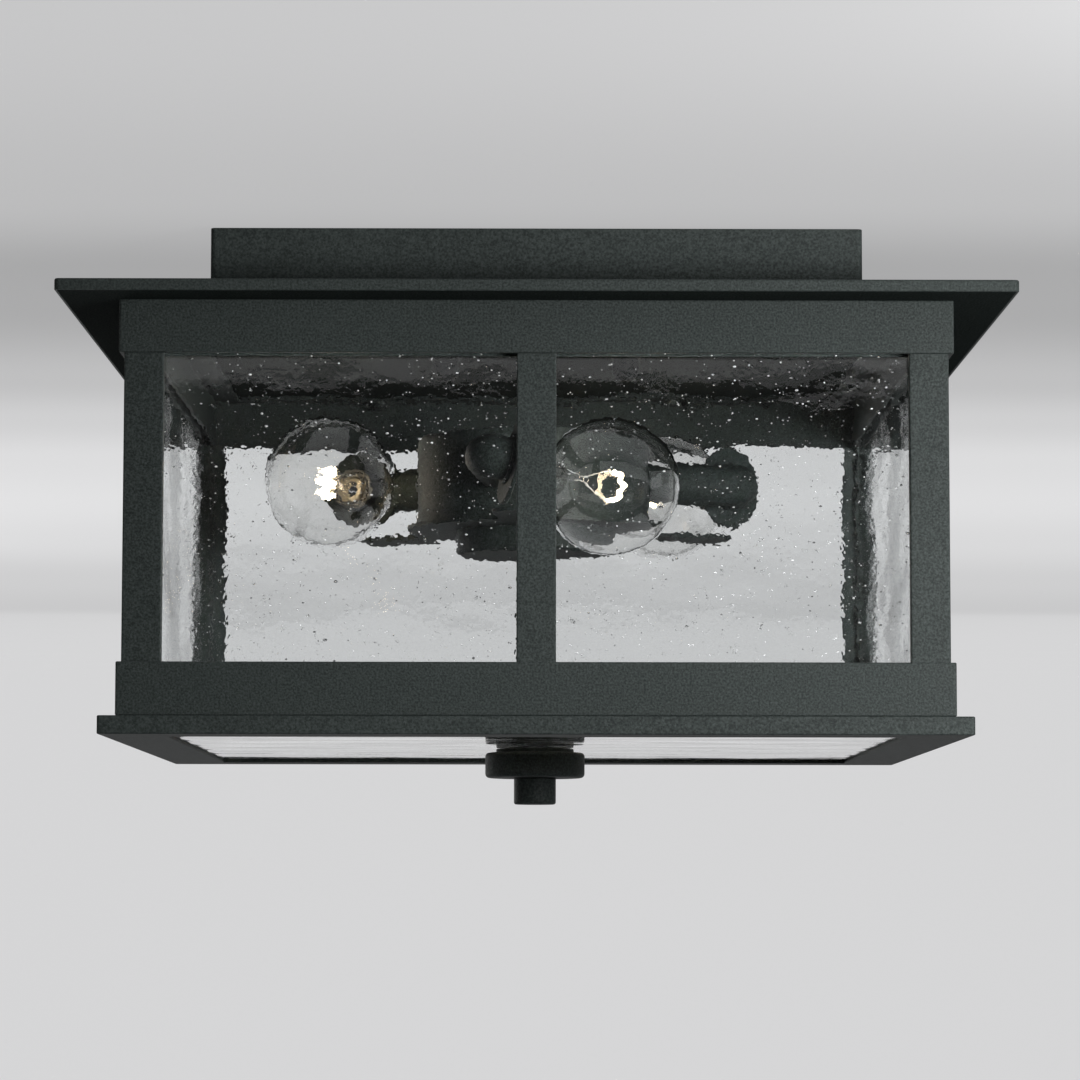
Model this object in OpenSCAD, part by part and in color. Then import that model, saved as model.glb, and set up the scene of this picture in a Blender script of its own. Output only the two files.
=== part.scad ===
// Outdoor flush mount lantern: square roof, four glazed sides, three lamps, drop-down glass tray.
// The ceiling plane is z = 0, the lantern hangs below it, and its front faces -Y.

/* [Canopy and roof] */
// Width of the square canopy against the ceiling
canopy_w = 267; // [220:1:300]
// Height of the canopy
canopy_h = 30; // [26:1:50]
// Width of the square roof plate
roof_w = 381; // [350:1:440]
// Overall thickness of the roof plate
roof_h = 4.7; // [4.5:0.1:8]
// Rounding of the roof and canopy corners
corner_r = 2; // [1.5:0.5:4]
// Thickness of the folded sheet
sheet_t = 1.2; // [0.8:0.1:1.4]
// Width of the flange that seats the canopy on the roof
canopy_flange = 14; // [10:1:20]
// Width of the foam seal inside the canopy rim
seal_w = 8; // [5:1:12]
// Depth of the foam seal
seal_h = 5; // [3:1:8]

/* [Frames and posts] */
// Width of the square top and bottom frames
frame_w = 334; // [320:1:344]
// Height of the outer face of each frame
frame_h = 21.4; // [18:0.2:26]
// Thickness of the outer leg and the web of each frame
frame_t = 2; // [1.5:0.1:2.6]
// Thickness of the inner leg of each frame
inner_leg_t = 1.5; // [1:0.1:2]
// Width of the flange that the roof screws hold
top_flange = 11.5; // [9:0.5:16]
// Clear height of the glass between the frames
opening_h = 123.8; // [115:0.2:160]
// Width of the posts and of the centre bars
post_w = 15.8; // [13:0.2:20]
// Thickness of the cover in front of the glass
cover_t = 5; // [4:0.1:5.6]

/* [Glass] */
// Thickness of every glass pane
glass_t = 3; // [2:0.1:3.4]
// Clearance on each side of a pane in its groove
glass_gap = 0.2; // [0.1:0.05:0.4]
// Height of the rubber glazing strips
strip_h = 6; // [5:0.1:10]
// Rubber on each side of a pane
strip_wall = 1.4; // [1:0.1:2]
// Rubber under the edge of a pane
strip_floor = 3; // [2:0.1:4]

/* [Tray and finial] */
// Width of the square tray under the bottom frame
tray_w = 347; // [344:1:370]
// Height of the tray
tray_h = 7.4; // [7:0.1:12]
// Width of the lip under the glass
tray_lip = 25.3; // [20:0.1:32]
// Width of the rim that meets the bottom frame
tray_rim = 10.5; // [8:0.1:13]
// How far the bottom glass lies on the lip
glass_overlap = 12.8; // [6:0.1:14]
// Width of a glass clip
clip_w = 16; // [8:1:30]
// Distance of the clips from the middle of a side
clip_x = 95; // [60:1:120]
// Diameter of the finial washer
washer_d = 34; // [28:1:44]
// Thickness of the finial washer
washer_t = 1.7; // [1:0.1:3]
// Diameter of the finial disc
finial_d = 43.6; // [36:0.2:60]
// Height of the finial disc
finial_h = 11; // [8:0.5:16]
// Diameter of the finial knob
knob_d = 18.4; // [15:0.2:26]
// Height of the finial knob
knob_h = 11.6; // [10:0.2:20]

/* [Stem] */
// Diameter of the threaded stem
stem_d = 9.7; // [8:0.1:12]
// Bore of the stem for the wires
stem_bore = 6.6; // [4:0.1:7]
// Height of the stem above the roof
stem_above = 7; // [6:0.5:12]
// Width across the flats of the stem nuts
nut_af = 14.3; // [13.8:0.1:18]
// Height of the stem nuts
nut_h = 4.5; // [3:0.1:6]

/* [Lamp cluster] */
// Diameter of the wiring canister
canister_d = 104; // [90:1:116]
// Height of the wiring canister
canister_h = 40; // [34:1:44]
// Distance from the ceiling to the top of the canister
canister_drop = 71; // [66:0.5:80]
// Distance of each lamp axis below the top of the canister
lamp_below = 18; // [15:0.5:22]
// Direction of the first socket arm
arm_angle = 25; // [15:1:35]
// Distance from the stem to the middle of a socket disc
arm_reach = 96; // [92:0.5:100]
// Diameter of a socket arm
arm_d = 19; // [17:0.5:21]
// Bore of a socket arm
arm_bore = 13; // [8:0.5:14]
// Angle between a socket arm and its lamp axis
lamp_turn = 107; // [100:1:112]
// Droop of the lamp nearest the front, turned on its ball elbow
front_droop = 13; // [0:1:15]
// Diameter of a socket disc
disc_d = 37; // [30:0.5:42]
// Thickness of a socket disc
disc_t = 2; // [1.5:0.1:3]
// Thickness of the three-armed plate
plate_t = 1.5; // [1:0.1:2.5]
// Width of the arms of that plate
plate_arm_w = 22; // [18:1:23]
// Diameter of the cap under the plate
cap_d = 70; // [50:1:90]
// Height of the cap
cap_h = 10; // [6:0.5:14]

/* [Sockets and lamps] */
// Diameter of a lamp socket
socket_d = 18.5; // [17:0.1:21]
// Length of a lamp socket
socket_len = 12.5; // [11:0.5:16]
// Diameter of a lamp's screw base
lamp_base_d = 11.9; // [11:0.1:12.4]
// Wall of the screw shell in the socket
shell_t = 0.6; // [0.4:0.1:0.8]
// Diameter of a lamp globe
globe_d = 58; // [50:1:60]
// Wall of a lamp globe
globe_t = 0.8; // [0.6:0.1:1.2]
// Distance from the socket mouth to the middle of the globe
globe_reach = 29.5; // [29.5:0.1:32]

/* [Fixings] */
// Distance between the two mounting studs
stud_spacing = 80; // [70:0.1:95]
// Diameter of a mounting stud
stud_d = 4.2; // [4:0.1:5]
// Distance between the outlet box slots
slot_spacing = 88.9; // [84:0.1:92]
// Width of an outlet box slot
slot_w = 4.8; // [4.4:0.1:5.4]
// Length of an outlet box slot
slot_len = 12; // [8:0.5:14]
// Width of each arm of the mounting bracket
bracket_w = 22; // [18:1:30]
// Length of each arm of the mounting bracket
bracket_len = 112; // [108:1:130]
// Thickness of the mounting bracket
bracket_t = 2; // [1.5:0.1:3]
// Diameter of a cap nut
cap_nut_d = 12; // [10:0.5:16]
// Height of a cap nut
cap_nut_h = 11; // [10:0.5:14]
// Diameter of a frame or roof screw
screw_d = 4; // [3:0.1:4.5]
// Diameter of a screw head
screw_head_d = 7.4; // [6:0.1:8]

/* [Hidden] */
$fn = 64;

// Clearances: press and thread fits, free holes, and bodies that part from each other
fit_gap = 0.05;
hole_gap = 0.2;
body_gap = 0.3;
overshoot = 1;

// Levels from the ceiling down
roof_top = -canopy_h;
roof_low = roof_top - roof_h;
top_web = roof_low - frame_t;
glass_top = roof_low - frame_h;
glass_bottom = glass_top - opening_h;
frame_low = glass_bottom - frame_h;
bottom_web = frame_low + frame_t;
tray_top = frame_low - body_gap;
tray_low = tray_top - tray_h;
tray_glass_low = tray_low + sheet_t;
tray_glass_top = tray_glass_low + glass_t;
washer_top = tray_glass_low - body_gap;
finial_top = washer_top - washer_t;
knob_top = finial_top - finial_h;
knob_low = knob_top - knob_h;

// Distances from the middle of the lantern to the faces of its walls
post_out = frame_w / 2 - frame_t;
cover_in = post_out - cover_t;
pane_out = cover_in - glass_gap;
pane_in = pane_out - glass_t;
core_in = pane_in - strip_wall;
cover_edge = post_out - post_w;
post_screw_at = (core_in + post_out) / 2;
leg_in = core_in - fit_gap - inner_leg_t;

// Roof sheets
skin_low = roof_top - sheet_t;
liner_t = 2;
liner_top = roof_low + liner_t;
liner_w = roof_w - 2 * sheet_t - 2 * fit_gap;

// Screws
screw_r = screw_d / 2;
tapped_r = screw_r + fit_gap;
free_r = screw_r + hole_gap;
head_r = screw_head_d / 2;
head_h = 2.2;
sink_h = frame_t * 0.9;
roof_screw_x = 75;
roof_screw_y = leg_in - top_flange / 2;
canopy_screw_at = canopy_w / 2 - sheet_t - canopy_flange / 2;
post_screw_len = 14;

// Tray
tray_inside = tray_w / 2 - sheet_t;
tray_opening = tray_w - 2 * tray_lip;
bottom_glass_w = tray_opening + 2 * glass_overlap;
clip_t = 1;
glass_hole_r = 6.5;
grommet_flange_r = 10.5;
grommet_flange_t = 1.4;

// Stem and its nuts
stem_r = stem_d / 2;
stem_top = roof_top + stem_above;
stem_low = knob_top - knob_h * 0.35;
stem_hole_r = stem_r + hole_gap;

// Lamp cluster
lamp_count = 3;
lamp_step = 360 / lamp_count;
canister_top = -canister_drop;
canister_low = canister_top - canister_h;
lamp_z = canister_top - lamp_below;
plate_low = canister_low - plate_t;
cap_low = plate_low - cap_h;
arm_r = arm_d / 2;
elbow_r = arm_r + 0.8;
elbow_back = (arm_r + body_gap - socket_d / 2 * cos(lamp_turn)) / sin(lamp_turn);
elbow_x = arm_reach - elbow_back * cos(lamp_turn);
elbow_y = -elbow_back * sin(lamp_turn);
arm_inset = 10;
arm_start = canister_d / 2 - arm_inset;
lamp_droop = [0, 0, front_droop];
port_r = arm_r + fit_gap;

// Socket and lamp, measured along the lamp axis from the socket disc
socket_floor = 2;
base_r = lamp_base_d / 2;
shell_in = base_r + fit_gap;
shell_out = shell_in + shell_t;
globe_z = socket_len + globe_reach;
neck_r = base_r + 2;
neck_low = socket_len + 0.4;
base_low = socket_floor + 0.6;

// Mounting
stud_x = stud_spacing / 2;
stud_r = stud_d / 2;
cap_nut_low = roof_low - cap_nut_h;
stud_low = roof_low - cap_nut_h * 0.62;
lock_nut_af = 8.7;
lock_nut_h = 3.2;
ground_screw_x = 20;

// A square plate with rounded corners, w wide, from z0 up to z1
module square_plate(w, r, z0, z1) {
    translate([0, 0, z0])
        linear_extrude(z1 - z0) {
            square([w - 2 * r, w], center = true);
            square([w, w - 2 * r], center = true);
            for (x = [-1, 1], y = [-1, 1])
                translate([x * (w / 2 - r), y * (w / 2 - r)]) circle(r = r);
        }
}

// A square ring with sharp corners, given by its two half widths
module square_ring(outer, inner, z0, z1) {
    translate([0, 0, z0])
        linear_extrude(z1 - z0)
            difference() {
                square(2 * outer, center = true);
                square(2 * inner, center = true);
            }
}

module block(x0, x1, y0, y1, z0, z1) {
    translate([x0, y0, z0]) cube([x1 - x0, y1 - y0, z1 - z0]);
}

module rod(r, z0, z1) {
    translate([0, 0, z0]) cylinder(r = r, h = z1 - z0);
}

module hex_nut(af, z0, z1, bore) {
    difference() {
        translate([0, 0, z0]) cylinder(r = af / 2 / cos(30), h = z1 - z0, $fn = 6);
        rod(bore, z0 - overshoot, z1 + overshoot);
    }
}

// A disc whose rim is rounded by e above and below
module round_disc(r, e, z0, z1) {
    rod(r - e, z0, z1);
    rod(r, z0 + e, z1 - e);
    for (z = [z0 + e, z1 - e])
        translate([0, 0, z]) rotate_extrude() translate([r - e, 0]) circle(r = e, $fn = 32);
}

module four_sides() {
    for (a = [0 : 90 : 270]) rotate(a) children();
}

module at_corners(d) {
    for (x = [-d, d], y = [-d, d]) translate([x, y, 0]) children();
}

module at_studs() {
    for (x = [-stud_x, stud_x]) translate([x, 0, 0]) children();
}

// Two places on each side of the frames, where screws hold the frame to the roof
module at_roof_screws() {
    four_sides()
        for (x = [-roof_screw_x, roof_screw_x]) translate([x, -roof_screw_y, 0]) children();
}

// Z runs along the axis of lamp i, from the face of its socket disc outwards
module at_lamp(i) {
    rotate(arm_angle + i * lamp_step)
        translate([elbow_x, elbow_y, lamp_z])
            rotate(lamp_turn)
                rotate([0, 90 + lamp_droop[i], 0])
                    translate([0, 0, elbow_back]) children();
}

module mounting_bracket() {
    color("silver")
        difference() {
            union() {
                block(-bracket_len / 2, bracket_len / 2, -bracket_w / 2, bracket_w / 2, -bracket_t, 0);
                block(-bracket_w / 2, bracket_w / 2, -bracket_len / 2, bracket_len / 2, -bracket_t, 0);
            }
            at_studs() rod(stud_r + fit_gap, -bracket_t - overshoot, overshoot);
            translate([ground_screw_x, 0, 0]) rod(tapped_r, -bracket_t - overshoot, overshoot);
            for (y = [-slot_spacing / 2, slot_spacing / 2])
                translate([0, y, 0]) {
                    half = (slot_len - slot_w) / 2;
                    block(-slot_w / 2, slot_w / 2, -half, half, -bracket_t - overshoot, overshoot);
                    for (e = [-half, half])
                        translate([0, e, 0]) rod(slot_w / 2, -bracket_t - overshoot, overshoot);
                }
        }
}

module ground_screw() {
    color("green")
        translate([ground_screw_x, 0, 0])
            difference() {
                union() {
                    rod(head_r, -bracket_t - head_h, -bracket_t);
                    rod(screw_r, -bracket_t - head_h, -0.2);
                }
                block(-head_r, head_r, -0.5, 0.5, -bracket_t - head_h - overshoot, -bracket_t - 1.2);
            }
}

module mounting_studs() {
    color("silver") at_studs() rod(stud_r, stud_low, -0.2);
}

module stud_lock_nuts() {
    color("silver")
        at_studs() hex_nut(lock_nut_af, -bracket_t - lock_nut_h, -bracket_t, stud_r + fit_gap);
}

module cap_nuts() {
    dome_z = cap_nut_low + cap_nut_d / 2;
    color("dimgray")
        at_studs()
            difference() {
                union() {
                    rod(cap_nut_d / 2, min(dome_z, roof_low - 1), roof_low);
                    translate([0, 0, dome_z]) sphere(r = cap_nut_d / 2);
                }
                rod(cap_nut_d, roof_low, roof_low + cap_nut_d);
                rod(stud_r + fit_gap, stud_low - 0.4, roof_low + overshoot);
            }
}

module canopy() {
    inside = canopy_w - 2 * sheet_t;
    color("dimgray")
        difference() {
            square_plate(canopy_w, corner_r, roof_top, 0);
            square_plate(inside, corner_r / 2, roof_top + sheet_t, overshoot);
            square_plate(inside - 2 * canopy_flange, corner_r, roof_top - overshoot, overshoot);
            at_corners(canopy_screw_at) rod(free_r, roof_top - overshoot, roof_top + sheet_t + overshoot);
        }
}

module canopy_seal() {
    outside = canopy_w - 2 * sheet_t - 2 * fit_gap;
    color("black")
        difference() {
            square_plate(outside, corner_r / 2, -seal_h, 0);
            square_plate(outside - 2 * seal_w, corner_r / 2, -seal_h - overshoot, overshoot);
        }
}

module canopy_screws() {
    color("dimgray")
        at_corners(canopy_screw_at) {
            rod(head_r, roof_top + sheet_t, roof_top + sheet_t + head_h);
            rod(screw_r, liner_top + fit_gap, roof_top + sheet_t + head_h / 2);
        }
}

module roof_plate() {
    color("dimgray")
        difference() {
            square_plate(roof_w, corner_r, roof_low, roof_top);
            square_plate(roof_w - 2 * sheet_t, corner_r / 2, roof_low - overshoot, skin_low);
            at_corners(canopy_screw_at) rod(tapped_r, skin_low - overshoot, roof_top + overshoot);
            at_studs() rod(stud_r + hole_gap, skin_low - overshoot, roof_top + overshoot);
            rod(stem_hole_r, skin_low - overshoot, roof_top + overshoot);
            at_roof_screws() rod(tapped_r, skin_low - overshoot, roof_top - sheet_t / 2);
        }
}

// The flat sheet under the roof, with an upstand that carries the skin
module roof_liner() {
    upstand_in = liner_w - 4 * sheet_t;
    color("dimgray")
        difference() {
            square_plate(liner_w, corner_r / 2, roof_low, skin_low);
            square_plate(upstand_in, corner_r / 2, liner_top, skin_low + overshoot);
            at_studs() rod(stud_r + hole_gap, roof_low - overshoot, liner_top + overshoot);
            rod(stem_hole_r, roof_low - overshoot, liner_top + overshoot);
            at_roof_screws() rod(tapped_r, roof_low - overshoot, liner_top + overshoot);
        }
}

module roof_screws() {
    color("dimgray")
        at_roof_screws() {
            rod(head_r, top_web - head_h, top_web);
            rod(screw_r, top_web - head_h / 2, roof_top - sheet_t / 2 - 0.1);
        }
}

// A frame is a channel: outer leg, web, and an inner leg that stands behind the glass
module channel_frame(web_far, web_near, edge, flange) {
    low = min(web_far, edge);
    high = max(web_far, edge);
    square_ring(frame_w / 2, frame_w / 2 - frame_t, low, high);
    square_ring(leg_in + inner_leg_t, leg_in, low, high);
    square_ring(frame_w / 2, leg_in - flange, min(web_far, web_near), max(web_far, web_near));
}

module sunk_hole(z_face, direction) {
    rod(free_r, min(z_face, z_face - direction * frame_t) - overshoot,
        max(z_face, z_face - direction * frame_t) + overshoot);
    translate([0, 0, z_face])
        mirror([0, 0, direction > 0 ? 1 : 0])
            cylinder(r1 = head_r, r2 = screw_r, h = sink_h);
}

module sunk_screw(z_face, direction) {
    translate([0, 0, z_face])
        mirror([0, 0, direction > 0 ? 1 : 0]) {
            cylinder(r1 = head_r - 0.1, r2 = screw_r, h = sink_h);
            cylinder(r = screw_r, h = post_screw_len);
        }
}

module top_frame() {
    color("dimgray")
        difference() {
            channel_frame(roof_low, top_web, glass_top, top_flange);
            at_corners(post_screw_at) sunk_hole(roof_low, 1);
            at_roof_screws() rod(free_r, top_web - overshoot, roof_low + overshoot);
        }
}

module bottom_frame() {
    color("dimgray")
        difference() {
            channel_frame(frame_low, bottom_web, glass_bottom, 0);
            at_corners(post_screw_at) sunk_hole(frame_low, -1);
        }
}

module frame_screws() {
    color("dimgray")
        at_corners(post_screw_at) {
            sunk_screw(roof_low, 1);
            sunk_screw(frame_low, -1);
        }
}

// The post section in the +X +Y corner: a cover in front of two panes, and a core beside their edges
module post_section() {
    difference() {
        union() {
            translate([cover_edge, cover_in]) square([post_w, cover_t]);
            translate([cover_in, cover_edge]) square([cover_t, post_w]);
            translate([core_in, core_in]) square(post_out - core_in);
        }
        translate([post_screw_at, post_screw_at]) circle(r = tapped_r, $fn = 32);
    }
}

module post(quarter) {
    color("dimgray")
        rotate(quarter * 90)
            translate([0, 0, bottom_web]) linear_extrude(top_web - bottom_web) post_section();
}

// The bar outside the glass, tucked behind the outer legs of both frames
module cover_bar(quarter) {
    color("dimgray")
        rotate(quarter * 90)
            block(-post_w / 2, post_w / 2, -post_out, -cover_in, bottom_web, top_web);
}

module side_glass(quarter) {
    half = core_in - 2 * glass_gap;
    color("lightcyan")
        rotate(quarter * 90)
            block(-half, half, -pane_out, -pane_in, bottom_web + strip_floor, top_web - strip_floor);
}

// One U-shaped strip, standing on z_floor and open towards the pane
module glazing_strip(z_floor, direction) {
    x0 = post_w / 2 + glass_gap;
    x1 = cover_edge - 2 * glass_gap;
    z_end = z_floor + direction * strip_h;
    z_seat = z_floor + direction * strip_floor;
    difference() {
        block(x0, x1, -pane_out - strip_wall, -core_in, min(z_floor, z_end), max(z_floor, z_end));
        block(x0 - overshoot, x1 + overshoot, -pane_out - fit_gap, -pane_in + fit_gap,
            min(z_seat, z_end + direction), max(z_seat, z_end + direction));
    }
}

module glazing_strips() {
    color("black")
        four_sides()
            for (side = [0, 1])
                mirror([side, 0, 0]) {
                    glazing_strip(bottom_web, 1);
                    glazing_strip(top_web, -1);
                }
}

module stem() {
    color("darkgray")
        difference() {
            rod(stem_r, stem_low, stem_top);
            rod(stem_bore / 2, stem_low - overshoot, stem_top + overshoot);
        }
}

module stem_nuts() {
    color("darkgray") {
        hex_nut(nut_af, roof_top, roof_top + nut_h, stem_r + fit_gap);
        hex_nut(nut_af, roof_low - nut_h, roof_low, stem_r + fit_gap);
        hex_nut(nut_af, canister_top, canister_top + nut_h, stem_r + fit_gap);
        hex_nut(nut_af, cap_low - nut_h, cap_low, stem_r + fit_gap);
    }
}

module wiring_canister() {
    color("dimgray")
        difference() {
            rod(canister_d / 2, canister_low, canister_top);
            rod(canister_d / 2 - sheet_t, canister_low - overshoot, canister_top - sheet_t);
            rod(stem_hole_r, canister_top - 2 * sheet_t, canister_top + overshoot);
            for (i = [0 : lamp_count - 1])
                rotate(arm_angle + i * lamp_step)
                    translate([0, elbow_y, lamp_z])
                        rotate([0, 90, 0]) cylinder(r = port_r, h = canister_d);
        }
}

// The plate that closes the canister and reaches out under the socket arms
module arm_plate() {
    color("dimgray")
        difference() {
            union() {
                rod(canister_d / 2 + 4, plate_low, canister_low);
                for (i = [0 : lamp_count - 1])
                    rotate(arm_angle + i * lamp_step) {
                        block(0, arm_reach - plate_arm_w / 2, -plate_arm_w / 2, plate_arm_w / 2,
                            plate_low, canister_low);
                        translate([arm_reach - plate_arm_w / 2, 0, 0])
                            rod(plate_arm_w / 2, plate_low, canister_low);
                    }
            }
            rod(stem_hole_r, plate_low - overshoot, canister_low + overshoot);
        }
}

module canister_cap() {
    color("dimgray")
        difference() {
            union() {
                rod(cap_d / 2, cap_low + 2, plate_low);
                round_disc(cap_d / 2, 2, cap_low, plate_low);
            }
            rod(cap_d / 2 - sheet_t, cap_low + sheet_t, plate_low + overshoot);
            rod(stem_hole_r, cap_low - overshoot, plate_low + overshoot);
        }
}

// A hollow arm, the ball elbow at its end, and the disc that carries the socket
module socket_arm(i) {
    color("dimgray")
        difference() {
            union() {
                rotate(arm_angle + i * lamp_step)
                    translate([arm_start, elbow_y, lamp_z]) {
                        rotate([0, 90, 0]) cylinder(r = arm_r, h = elbow_x - arm_start);
                        translate([elbow_x - arm_start, 0, 0]) sphere(r = elbow_r);
                    }
                at_lamp(i) {
                    rod(arm_r, -elbow_back, 0);
                    rod(disc_d / 2, -disc_t, 0);
                }
            }
            rotate(arm_angle + i * lamp_step)
                translate([arm_start - overshoot, elbow_y, lamp_z])
                    rotate([0, 90, 0]) cylinder(r = arm_bore / 2, h = elbow_x - arm_start + overshoot);
            at_lamp(i) rod(stem_bore / 2, -elbow_back, overshoot);
        }
}

module socket(i) {
    color("#222222")
        at_lamp(i)
            difference() {
                rod(socket_d / 2, 0, socket_len);
                rod(shell_out + fit_gap, socket_floor, socket_len + overshoot);
            }
}

module socket_shells() {
    color("goldenrod")
        for (i = [0 : lamp_count - 1])
            at_lamp(i)
                difference() {
                    rod(shell_out, socket_floor, socket_len - 1);
                    rod(shell_in, socket_floor + 0.5, socket_len);
                }
}

module lamp_base(i) {
    color("goldenrod")
        at_lamp(i) {
            rod(base_r, base_low + 1.5, globe_z - globe_d / 2 + 3);
            rod(base_r * 0.45, base_low, base_low + 2);
        }
}

module lamp_globe(i) {
    inside = globe_d / 2 - globe_t;
    color("lightyellow")
        at_lamp(i)
            difference() {
                union() {
                    translate([0, 0, globe_z]) sphere(r = globe_d / 2);
                    rod(neck_r, neck_low, globe_z - globe_d / 2 + 4);
                }
                translate([0, 0, globe_z]) sphere(r = inside);
                rod(base_r + fit_gap, neck_low - overshoot, globe_z - inside + 2);
            }
}

// The glass foot, two lead wires and the bent filament between them
module lamp_filament(i) {
    foot_low = globe_z - globe_d / 2 + 3;
    foot_h = 9;
    foot_r = 2.4;
    cross_z = foot_low + 8;
    loop_r = 6;
    wire_r = 0.5;
    color("orange")
        at_lamp(i) {
            rod(foot_r, foot_low, foot_low + foot_h);
            for (x = [-loop_r, loop_r])
                translate([x, 0, 0]) rod(wire_r, cross_z, globe_z);
            block(-loop_r, loop_r, -wire_r, wire_r, cross_z - wire_r, cross_z + wire_r);
            translate([0, 0, globe_z])
                rotate([90, 0, 0]) rotate_extrude(angle = 180) translate([loop_r, 0]) circle(r = wire_r, $fn = 16);
        }
}

// Rim, wall and lip of the tray, a channel that opens inwards
module bottom_tray() {
    half = tray_w / 2;
    color("dimgray") {
        square_ring(half, half - sheet_t, tray_low, tray_top);
        square_ring(half, half - tray_rim, tray_top - sheet_t, tray_top);
        square_ring(half, tray_opening / 2, tray_low, tray_glass_low);
    }
}

module bottom_glass() {
    half = bottom_glass_w / 2;
    color("lightcyan")
        difference() {
            block(-half, half, -half, half, tray_glass_low, tray_glass_top);
            rod(glass_hole_r, tray_glass_low - overshoot, tray_glass_top + overshoot);
        }
}

module glass_clips() {
    tongue_end = bottom_glass_w / 2 - 4;
    color("silver")
        four_sides()
            for (x = [-clip_x, clip_x])
                translate([x, 0, 0]) {
                    block(-clip_w / 2, clip_w / 2, -tray_inside, -tray_inside + clip_t,
                        tray_glass_low, tray_glass_top + clip_t);
                    block(-clip_w / 2, clip_w / 2, -tray_inside, -tongue_end,
                        tray_glass_top, tray_glass_top + clip_t);
                }
}

module glass_grommet() {
    color("black")
        difference() {
            union() {
                rod(glass_hole_r - fit_gap, tray_glass_low, tray_glass_top + grommet_flange_t);
                rod(grommet_flange_r, tray_glass_top, tray_glass_top + grommet_flange_t);
            }
            rod(stem_r + body_gap, tray_glass_low - overshoot, tray_glass_top + 2 * grommet_flange_t);
        }
}

module finial_washer() {
    color("dimgray")
        difference() {
            rod(washer_d / 2, finial_top, washer_top);
            rod(stem_r + fit_gap, finial_top - overshoot, washer_top + overshoot);
        }
}

module finial_disc() {
    color("dimgray")
        difference() {
            round_disc(finial_d / 2, 2, knob_top, finial_top);
            rod(stem_r + fit_gap, knob_top - overshoot, finial_top + overshoot);
        }
}

module finial_knob() {
    color("dimgray")
        difference() {
            union() {
                rod(knob_d / 2, knob_low + 2, knob_top);
                round_disc(knob_d / 2, 1.5, knob_low, knob_top);
            }
            rod(stem_r + fit_gap, stem_low - 0.5, knob_top + overshoot);
        }
}

mounting_bracket();
ground_screw();
mounting_studs();
stud_lock_nuts();
cap_nuts();
canopy();
canopy_seal();
canopy_screws();
roof_plate();
roof_liner();
roof_screws();
top_frame();
bottom_frame();
frame_screws();
post(2);  // post_front_left
post(3);  // post_front_right
post(1);  // post_rear_left
post(0);  // post_rear_right
cover_bar(0);  // bar_front
cover_bar(1);  // bar_right
cover_bar(2);  // bar_rear
cover_bar(3);  // bar_left
side_glass(0);  // glass_front
side_glass(1);  // glass_right
side_glass(2);  // glass_rear
side_glass(3);  // glass_left
glazing_strips();
stem();
stem_nuts();
wiring_canister();
arm_plate();
canister_cap();
socket_arm(0);  // socket_arm_1
socket_arm(1);  // socket_arm_2
socket_arm(2);  // socket_arm_3
socket(0);  // socket_1
socket(1);  // socket_2
socket(2);  // socket_3
socket_shells();
lamp_base(0);  // lamp_base_1
lamp_base(1);  // lamp_base_2
lamp_base(2);  // lamp_base_3
lamp_globe(0);  // lamp_globe_1
lamp_globe(1);  // lamp_globe_2
lamp_globe(2);  // lamp_globe_3
lamp_filament(0);  // lamp_filament_1
lamp_filament(1);  // lamp_filament_2
lamp_filament(2);  // lamp_filament_3
bottom_tray();
bottom_glass();
glass_clips();
glass_grommet();
finial_washer();
finial_disc();
finial_knob();
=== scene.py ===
"""Looks of the flush mount lantern: coated metal, seeded glass, three clear lamps and the ceiling above."""

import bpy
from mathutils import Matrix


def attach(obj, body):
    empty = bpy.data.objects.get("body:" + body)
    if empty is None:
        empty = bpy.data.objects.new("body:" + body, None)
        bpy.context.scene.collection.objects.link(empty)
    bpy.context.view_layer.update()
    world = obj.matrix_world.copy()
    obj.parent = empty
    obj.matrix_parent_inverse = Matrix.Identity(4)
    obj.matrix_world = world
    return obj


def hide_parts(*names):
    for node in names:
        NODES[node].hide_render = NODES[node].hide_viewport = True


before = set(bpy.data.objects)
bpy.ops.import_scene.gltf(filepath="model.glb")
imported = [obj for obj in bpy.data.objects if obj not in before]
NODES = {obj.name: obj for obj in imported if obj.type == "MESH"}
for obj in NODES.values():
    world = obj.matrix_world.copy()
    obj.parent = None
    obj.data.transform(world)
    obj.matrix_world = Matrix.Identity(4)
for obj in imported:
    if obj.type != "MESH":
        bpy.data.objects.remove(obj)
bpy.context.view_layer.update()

import math

import bpy
import numpy as np
from mathutils import Vector

bl_info = {
    "name": "Flush mount lantern",
    "version": (1, 0, 0),
    "blender": (4, 5, 0),
    "location": "3D View > Sidebar > Lantern",
    "description": "Dresses the flush mount lantern and its ceiling",
    "category": "Object",
}

MM = 0.001
ARC_STEPS = 4            # steps in a rounded edge
ROUND_STEPS = 96         # steps round a turned piece
ROOT, TRAY, FINIAL = "lantern", "tray", "finial"
SIDES = "front", "right", "rear", "left"

# Levels and half widths in millimetres, as in the part's source
CANOPY_HALF, ROOF_HALF, FRAME_HALF, TRAY_HALF = 133.5, 190.5, 167.0, 173.5
ROOF_TOP, ROOF_LOW, TOP_WEB = -30.0, -34.7, -36.7
GLASS_TOP, GLASS_BOTTOM = -56.1, -179.9
BOTTOM_WEB, FRAME_LOW = -199.3, -201.3
TRAY_TOP, TRAY_LOW = -201.6, -209.0
TRAY_GLASS_LOW, TRAY_GLASS_TOP = -207.8, -204.8
SHEET = 1.2
POST_OUT, COVER_IN, CORE_IN = 165.0, 160.0, 155.4
PANE_OUT, PANE_IN, PANE_HALF = 159.8, 156.8, 155.0
LEG_IN, LEG_T, FLANGE = 153.85, 1.5, 11.5
POST_HALF = 7.9
STEM_R, STEM_TOP, STEM_LOW = 4.85, -23.0, -224.86
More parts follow.
